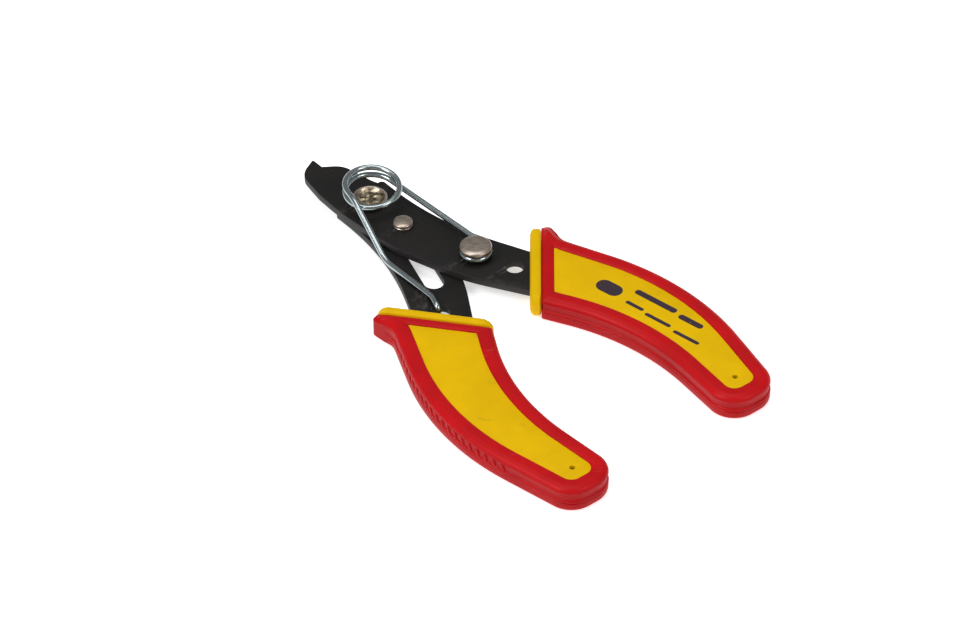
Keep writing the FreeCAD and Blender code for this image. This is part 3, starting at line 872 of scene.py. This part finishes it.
class STRIPPER_OT_buttons(bpy.types.Operator):
    """Builds the stop pin and the spring post, and finishes the washers"""
    bl_idname = "stripper.buttons"
    bl_label = "Pin, post and washers"

    def execute(self, context):
        sizes = context.scene.stripper_fasteners
        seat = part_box("upper_blade")[1].z / MM
        low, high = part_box("stop_pin")
        bottom, top = low.z / MM, high.z / MM
        head = domed_head(PIN_HEAD_RADIUS, seat + PIN_STEP_HEIGHT + 0.25, top, 0.3)
        head += [(PIN_STEP_RADIUS - 0.35, seat + PIN_STEP_HEIGHT + 0.2),
                 (PIN_STEP_RADIUS - 0.35, seat + PIN_STEP_HEIGHT + 0.05),
                 (PIN_STEP_RADIUS - 0.12, seat + PIN_STEP_HEIGHT),
                 (PIN_STEP_RADIUS, seat + PIN_STEP_HEIGHT - 0.12),
                 (PIN_STEP_RADIUS, seat + 0.1), (PIN_STEP_RADIUS - 0.1, seat)]
        shank = [(PIN_SHANK_RADIUS, seat), (PIN_SHANK_RADIUS, bottom + TAIL_HEIGHT)]
        tail = closed_end(PIN_TAIL_RADIUS, bottom, bottom + TAIL_HEIGHT)
        self.build("stop_pin", head + shank + tail, PIN_CENTRE, sizes)
        low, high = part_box("spring_post")
        bottom, top = low.z / MM, high.z / MM
        head = domed_head(POST_HEAD_RADIUS, seat + POST_NECK_HEIGHT, top, 0.24)
        neck = [(POST_NECK_RADIUS, seat + POST_NECK_HEIGHT), (POST_NECK_RADIUS, seat)]
        foot = [(POST_SHANK_RADIUS, seat), (POST_SHANK_RADIUS, bottom), (0, bottom)]
        self.build("spring_post", head + neck + foot, POST_CENTRE, sizes)
        zinc = zinc_plate("washer_zinc", WASHER_ZINC)
        for node in ("pivot_washer", "stop_pin_washer"):
            self.refinish(frame["nodes"][node], zinc)
        return {"FINISHED"}

    def build(self, node, profile, centre, sizes):
        mesh = as_mesh(turned(profile, centre, 96), node + "_turned")
        middle = to_frame([(*centre, 0)])[0]
        finish = plated_nickel(node + "_nickel", sizes, middle)
        add_piece(node + "_turned", mesh, finish, "upper_arm", "plated_rivet", node)

    def refinish(self, node, material):
        for slot in node.material_slots:
            slot.material = material


# Return spring

COIL_CENTRE = (0.5, -0.4)
COIL_START_Z = 8.4
COIL_TILT = 0.5
COIL_HIGH_SIDE = radians(51)
EYE_RADIUS = 3.65
EYE_TURN = 318
EYE_RISE = 1.55
LEG_CORNERS = [((-11.4, -21.0), 9.0), ((-11.2, -40.5), 3.0), ((-12.7, -45.0), 1.6)]
LEG_CLEARANCE = 0.9
EXIT_RUN = 4.0
EXIT_RADIUS = 12.0
HOOK_BOTTOM_Z = 1.1
WIRE_SIDES = 20


def tangent_angle(outside, centre, radius):
    """Angle, seen from a circle's centre, of the point where a line from outside touches it."""
    run_x, run_y = outside[0] - centre[0], outside[1] - centre[1]
    return atan2(run_y, run_x) - acos(radius / hypot(run_x, run_y))


def outer_tangent(circle_a, radius_a, circle_b, radius_b):
    """Angle of the contact points of the line that passes both circles on their +X side."""
    run_x, run_y = circle_b[0] - circle_a[0], circle_b[1] - circle_a[1]
    return atan2(run_y, run_x) + acos((radius_a - radius_b) / hypot(run_x, run_y))


def turn_points(centre, radius, start, end, low, high, steps):
    """Points on a rising turn."""
    points = []
    for k in range(steps + 1):
        share = k / steps
        turn = start + (end - start) * share
        points.append(Vector((centre[0] + radius * cos(turn), centre[1] + radius * sin(turn),
                              low + (high - low) * share)))
    return points


def spring_path(sizes):
    """The wire's line: eye round the post, leg, coil over the pivot, leg, and the end bent down."""
    coil_radius, pitch = sizes.coil / MM, sizes.pitch / MM
    eye_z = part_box("upper_blade")[1].z / MM + EYE_RISE
    leg_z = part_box("lower_blade")[1].z / MM + LEG_CLEARANCE
    exit_angle = outer_tangent(COIL_CENTRE, coil_radius, POST_CENTRE, EYE_RADIUS)
    eye = turn_points(POST_CENTRE, EYE_RADIUS, exit_angle - radians(EYE_TURN), exit_angle, eye_z, eye_z, 60)
    end_angle = tangent_angle(LEG_CORNERS[0][0], COIL_CENTRE, coil_radius)
    while end_angle < exit_angle + 2 * pi:
        end_angle += 2 * pi
    rise = pitch * (end_angle - exit_angle) / (2 * pi)
    coil = turn_points(COIL_CENTRE, coil_radius, exit_angle, end_angle,
                       COIL_START_Z, COIL_START_Z + rise, 110)
    for point, turn in zip(coil, np.linspace(exit_angle, end_angle, len(coil))):
        point.z += COIL_TILT * cos(turn - COIL_HIGH_SIDE)
    leaving = coil[-1] + Vector((-sin(end_angle), cos(end_angle), 0)) * EXIT_RUN
    corners = [(coil[-1], 0), (leaving, EXIT_RADIUS)]
    corners += [(Vector((*place, leg_z)), radius) for place, radius in LEG_CORNERS]
    corners.append((Vector((*LEG_CORNERS[-1][0], HOOK_BOTTOM_Z)), 0))
    leg = rounded_points(corners, False, 0.6)
    straight = [eye[-1].lerp(coil[0], k / 40) for k in range(1, 40)]
    return eye + straight + coil + leg[1:]


class STRIPPER_OT_spring(bpy.types.Operator):
    """Bends the return spring from wire"""
    bl_idname = "stripper.spring"
    bl_label = "Return spring"

    def execute(self, context):
        sizes = context.scene.stripper_spring
        zinc = zinc_plate("spring_zinc", tuple(sizes.zinc))
        path = curve_object("spring_path", [spring_path(sizes)], False)
        mesh = run_tree(path, wire_tree(), {
            "Radius": sizes.wire / 2 / MM, "Sides": WIRE_SIDES, "Material": zinc})
        mesh.transform(Matrix.Translation((PIVOT.x, PIVOT.y, 0)) @ Matrix.Diagonal((MM, MM, MM, 1)))
        wire = joined("return_spring_wire", [mesh], 60.0)
        spring = add_piece("return_spring_wire", wire, zinc, None, "spring_wire", "return_spring")
        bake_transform(spring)
        return {"FINISHED"}


# Grips

WALL_SETBACK = 0.42
DOME_WIDTH = 2.2
DOME_DROP = 1.6
HORN_REACH = 9.0
HORN_DROP = 1.7


def horn_share(point):
    """1 at the guard horn's tip, falling to 0 at the end of its reach."""
    return max(0.0, 1 - hypot(point[0] - HORN_TIP[0], point[1] - HORN_TIP[1]) / HORN_REACH)


def rounded_horn(point, inset, z, height):
    """Height of a cover point: round the guard horn's tip the edges fall away from the rim."""
    share = max(0.0, 1 - inset / 3.2)
    fall = HORN_DROP * horn_share(point) * share ** 1.5
    middle = height / 2
    return z - fall * (z - middle) / middle


def cover_section(sizes, height):
    """The red cover's closed section as (inset, z): lip, rim, wall with its parting groove, rest face."""
    border, radius, parting = sizes.border / MM, sizes.rim_round / MM, sizes.parting / MM
    wall = WALL_SETBACK
    lip = 1.0
    inner_top, inner_low = height - CARCASS_COVER, CARCASS_COVER
    section = [(border, inner_top), (border, height - PANEL_RECESS)]
    for turn in (10, 30, 50, 70):
        rise = (PANEL_RECESS - 0.06) * sin(radians(turn))
        section.append((border - lip * (1 - cos(radians(turn))), height - PANEL_RECESS + rise))
    for turn in range(90, -1, -9):
        across = DOME_WIDTH * (1 - cos(radians(turn)))
        section.append((0.08 + across, height - DOME_DROP * (1 - sin(radians(turn)))))
    section += [(wall - 0.15, 5.6), (wall, 5.35), (wall, 3.6)]
    section += [(0.1, parting + 0.75), (0.02, parting + 0.5), (0.05, parting + 0.25), (0.42, parting)]
    section += [(0.12, parting - 0.25), (0.08, parting - 0.6), (0.1, radius + 0.3)]
    section += arc_profile((0.1 + radius, radius), radius, 180, 270, 8)
    section += [(border - 1.2, 0.0)]
    section += arc_profile((border - 0.45, 0.45), 0.45, -90, 0, 5)
    section += [(border, inner_low), (CARCASS_BORDER, inner_low), (CARCASS_BORDER, inner_top)]
    return section


RIB_WIDTH = 1.15
RIB_FROM_Y = -53.0
RIB_TO_Y = -104.0
RIB_LEAST_X = 26.0
RIB_ABOVE_PARTING = 1.5
RIB_SINK = 0.05


class STRIPPER_OT_covers(bpy.types.Operator):
    """Moulds the red covers with their rims, parting groove and ribs"""
    bl_idname = "stripper.covers"
    bl_label = "Grip covers"

    def execute(self, context):
        sizes = context.scene.stripper_grips
        finish = red_moulding(sizes)
        plan = GripPlan(sizes.border / MM)
        ribs = rib_tree()
        for arm, mirror in (("upper", False), ("lower", True)):
            node = arm + "_grip_cover"
            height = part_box(node)[1].z / MM
            section = cover_section(sizes, height)
            plain = plan.inset(0.05)
            loops = []
            for inset, z in section:
                drawn = plan.inset(inset)
                if inset < 2 * WALL_SETBACK:
                    drawn = [plain[k] + (place - plain[k]) * max(0.0, 1 - 2 * horn_share(place))
                             for k, place in enumerate(drawn)]
                loop = [(x, y, rounded_horn((x, y), inset, z, height)) for x, y in drawn]
                loops.append(to_frame(loop, mirror))
            mesh = as_mesh(stacked(loops, True), node + "_moulding", 38.0)
            add_piece(node + "_moulding", mesh, finish, arm + "_arm", "grip_red", node)
            self.add_ribs(plan, sizes, arm, mirror, ribs, finish)
        return {"FINISHED"}

    def add_ribs(self, plan, sizes, arm, mirror, tree, finish):
        wall = plan.inset(WALL_SETBACK)
        outer = [(x, y) for x, y in wall if x > RIB_LEAST_X and RIB_TO_Y < y < RIB_FROM_Y]
        outer.sort(key=lambda place: -place[1])
        height = sizes.parting / MM + RIB_ABOVE_PARTING
        line = to_frame([(x, y, height) for x, y in outer], mirror)
        path = curve_object(arm + "_rib_line", [line], False)
        mesh = run_tree(path, tree, {
            "Count": sizes.rib_count, "Length": sizes.rib_length, "Width": RIB_WIDTH * MM,
            "Height": 2 * (WALL_SETBACK - RIB_SINK) * MM,
            "Slant": -sizes.rib_slant if mirror else sizes.rib_slant,
            "Material": finish})
        ribs = joined(arm + "_grip_ribs", [mesh], 60.0)
        add_piece(arm + "_grip_ribs", ribs, finish, arm + "_arm", "grip_red")


def collar_mesh(height, mirror):
    """The yellow flange: a rounded slab across the blade, with a wavy moulding burr on its front edge."""
    low, high = COLLAR_INSET, height - COLLAR_INSET
    corners = [(COLLAR_FROM, low), (COLLAR_TO, low), (COLLAR_TO, high), (COLLAR_FROM, high)]
    back = COLLAR_FRONT + COLLAR_THICKNESS
    levels = [(back, 0.45), (back - 0.15, 0.2), (back - 0.5, 0.0)]
    levels += [(COLLAR_FRONT + COLLAR_ROUND * (1 - sin(turn)), COLLAR_ROUND * (1 - cos(turn)))
               for turn in [radians(15 * k) for k in range(7)]]
    ring = rounded_points([(Vector((*corner, 0)), COLLAR_CORNER) for corner in corners], True, 0.35)
    middle = Vector(((COLLAR_FROM + COLLAR_TO) / 2, (low + high) / 2, 0))
    half = Vector(((COLLAR_TO - COLLAR_FROM) / 2, (high - low) / 2, 0))
    loops = []
    for along, inset in levels:
        loop = []
        for k, point in enumerate(ring):
            away = point - middle
            across = middle.x + away.x * (1 - COLLAR_END_ROUND * inset / half.x)
            rise = middle.y + away.y * (1 - inset / half.y)
            wave = COLLAR_BURR * sin(0.9 * k) * sin(0.23 * k) if inset < 0.2 else 0.0
            place = collar_point(along + wave, across)
            loop.append((place.x, place.y, rise))
        loops.append(to_frame(loop, mirror))
    return as_mesh(stacked(loops, False), "collar", 50.0)


def mirrored_outline(outline, mirror):
    """A plan outline in millimetres of the CAD frame, for the upper or the lower arm."""
    return [(point.x / MM, point.y / MM)
            for point in to_frame([(x, y, 0) for x, y in outline], mirror)]


class STRIPPER_OT_cores(bpy.types.Operator):
    """Moulds the yellow cores: collar, hidden carcass and both panels"""
    bl_idname = "stripper.cores"
    bl_label = "Grip cores"

    def execute(self, context):
        sizes = context.scene.stripper_grips
        plan = GripPlan(sizes.border / MM)
        for arm, mirror in (("upper", False), ("lower", True)):
            node = arm + "_grip_core"
            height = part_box(arm + "_grip_cover")[1].z / MM
            finish = yellow_moulding(arm + "_yellow_moulding", sizes, arm == "upper")
            meshes = [collar_mesh(height, mirror)]
            panel = mirrored_outline(plan.inset(sizes.border / MM), mirror)
            turns = [2 * pi * k / PIN_MARK_SIDES for k in range(PIN_MARK_SIDES)]
            mark = mirrored_outline([(PIN_MARK[0] + PIN_MARK_RADIUS * cos(turn),
                                      PIN_MARK[1] + PIN_MARK_RADIUS * sin(turn)) for turn in turns], mirror)
            carcass = mirrored_outline(plan.inset(CARCASS_BORDER), mirror)
            panel_top, panel_low = height - PANEL_RECESS, PANEL_RECESS
            meshes.append(plate("top_panel", [panel, mark],
                                panel_top - PANEL_THICKNESS, panel_top, PANEL_EDGE))
            meshes.append(plate("low_panel", [panel], panel_low, panel_low + PANEL_THICKNESS, PANEL_EDGE))
            meshes.append(plate("carcass", [carcass, mark], CARCASS_COVER + CARCASS_GAP,
                                height - CARCASS_COVER - CARCASS_GAP, CARCASS_EDGE))
            core = joined(node + "_moulding", meshes, 35.0)
            add_piece(node + "_moulding", core, finish, arm + "_arm", "grip_yellow", node)
        return {"FINISHED"}


# Stage. Each lamp has its offset from the tool's middle and its size in metres, and its power in watts.

LAMPS = [
    ("left_light", (-0.95, 0.15, 1.0), 0.55, 8.5),
    ("right_light", (0.3, -0.95, 1.0), 0.5, 4.5),
    ("top_light", (0.1, 0.25, 1.5), 0.9, 6.5),
]
WORLD_STRENGTH = 0.3
FLOOR_REACH = 3.0
CAMERA_TARGET = (-9.12, -7.05, 6.9)


class STRIPPER_OT_stage(bpy.types.Operator):
    """Makes the pale floor, the soft lights and the camera"""
    bl_idname = "stripper.stage"
    bl_label = "Stage"

    def execute(self, context):
        sizes = context.scene.stripper_stage
        scene = context.scene
        scene.view_settings.view_transform = "Standard"
        self.floor(sizes)
        self.world(scene)
        low, high = CAD_BOX
        centre = (low + high) / 2
        for name, offset, size, power in LAMPS:
            self.lamp(name, centre, offset, size, power)
        self.camera(scene, sizes)
        return {"FINISHED"}

    def floor(self, sizes):
        build = bmesh.new()
        bmesh.ops.create_grid(build, x_segments=8, y_segments=8, size=FLOOR_REACH)
        mesh = bpy.data.meshes.new("floor")
        build.to_mesh(mesh)
        build.free()
        mesh.materials.append(matte_floor(tuple(sizes.floor)))
        floor = bpy.data.objects.new("floor", mesh)
        bpy.context.scene.collection.objects.link(floor)

    def world(self, scene):
        world = bpy.data.worlds.new("studio")
        world.use_nodes = True
        background = world.node_tree.nodes["Background"]
        background.inputs["Color"].default_value = (1.0, 1.0, 1.0, 1.0)
        background.inputs["Strength"].default_value = WORLD_STRENGTH
        scene.world = world

    def lamp(self, name, centre, offset, size, power):
        light = bpy.data.lights.new(name, "AREA")
        light.energy = power
        light.size = size
        lamp = bpy.data.objects.new(name, light)
        lamp.location = centre + Vector(offset)
        lamp.rotation_euler = (-Vector(offset)).to_track_quat("-Z", "Y").to_euler()
        bpy.context.scene.collection.objects.link(lamp)

    def camera(self, scene, sizes):
        target = Vector(CAMERA_TARGET) * MM
        level = Vector((cos(sizes.heading), sin(sizes.heading), 0)) * cos(sizes.elevation)
        forward = level - UP * sin(sizes.elevation)
        lens = bpy.data.cameras.new("camera")
        lens.lens = sizes.lens
        lens.sensor_width = 36.0
        lens.clip_start = 0.05
        camera = bpy.data.objects.new("camera", lens)
        camera.location = target - forward * sizes.distance
        turn = forward.to_track_quat("-Z", "Y").to_matrix() @ Matrix.Rotation(sizes.roll, 3, "Z")
        camera.rotation_euler = turn.to_euler()
        scene.collection.objects.link(camera)
        scene.camera = camera


class STRIPPER_PT_pieces(bpy.types.Panel):
    """Lists the pieces of the wire stripper"""
    bl_label = "Wire Stripper"
    bl_idname = "STRIPPER_PT_pieces"
    bl_space_type = "VIEW_3D"
    bl_region_type = "UI"
    bl_category = "Wire Stripper"

    def draw(self, context):
        for group in SETTINGS:
            box = self.layout.box()
            box.label(text=group.replace("stripper_", "").capitalize())
            settings = getattr(context.scene, group)
            for name in settings.__annotations__:
                box.prop(settings, name)
        for operator in OPERATORS:
            self.layout.operator(operator.bl_idname)


SETTINGS = {
    "stripper_blades": STRIPPER_PG_blades,
    "stripper_fasteners": STRIPPER_PG_fasteners,
    "stripper_spring": STRIPPER_PG_spring,
    "stripper_grips": STRIPPER_PG_grips,
    "stripper_stage": STRIPPER_PG_stage,
}
OPERATORS = [
    STRIPPER_OT_stage,
    STRIPPER_OT_blades,
    STRIPPER_OT_pivot,
    STRIPPER_OT_buttons,
    STRIPPER_OT_spring,
    STRIPPER_OT_cores,
    STRIPPER_OT_covers,
]


def register():
    for group in SETTINGS.values():
        bpy.utils.register_class(group)
    for operator in OPERATORS:
        bpy.utils.register_class(operator)
    bpy.utils.register_class(STRIPPER_PT_pieces)
    for name, group in SETTINGS.items():
        setattr(bpy.types.Scene, name, bpy.props.PointerProperty(type=group))


def unregister():
    for name in SETTINGS:
        delattr(bpy.types.Scene, name)
    bpy.utils.unregister_class(STRIPPER_PT_pieces)
    for operator in reversed(OPERATORS):
        bpy.utils.unregister_class(operator)
    for group in reversed(SETTINGS.values()):
        bpy.utils.unregister_class(group)


def main():
    register()
    for operator in OPERATORS:
        family, name = operator.bl_idname.split(".")
        getattr(getattr(bpy.ops, family), name)()


if __name__ == "__main__":
    main()
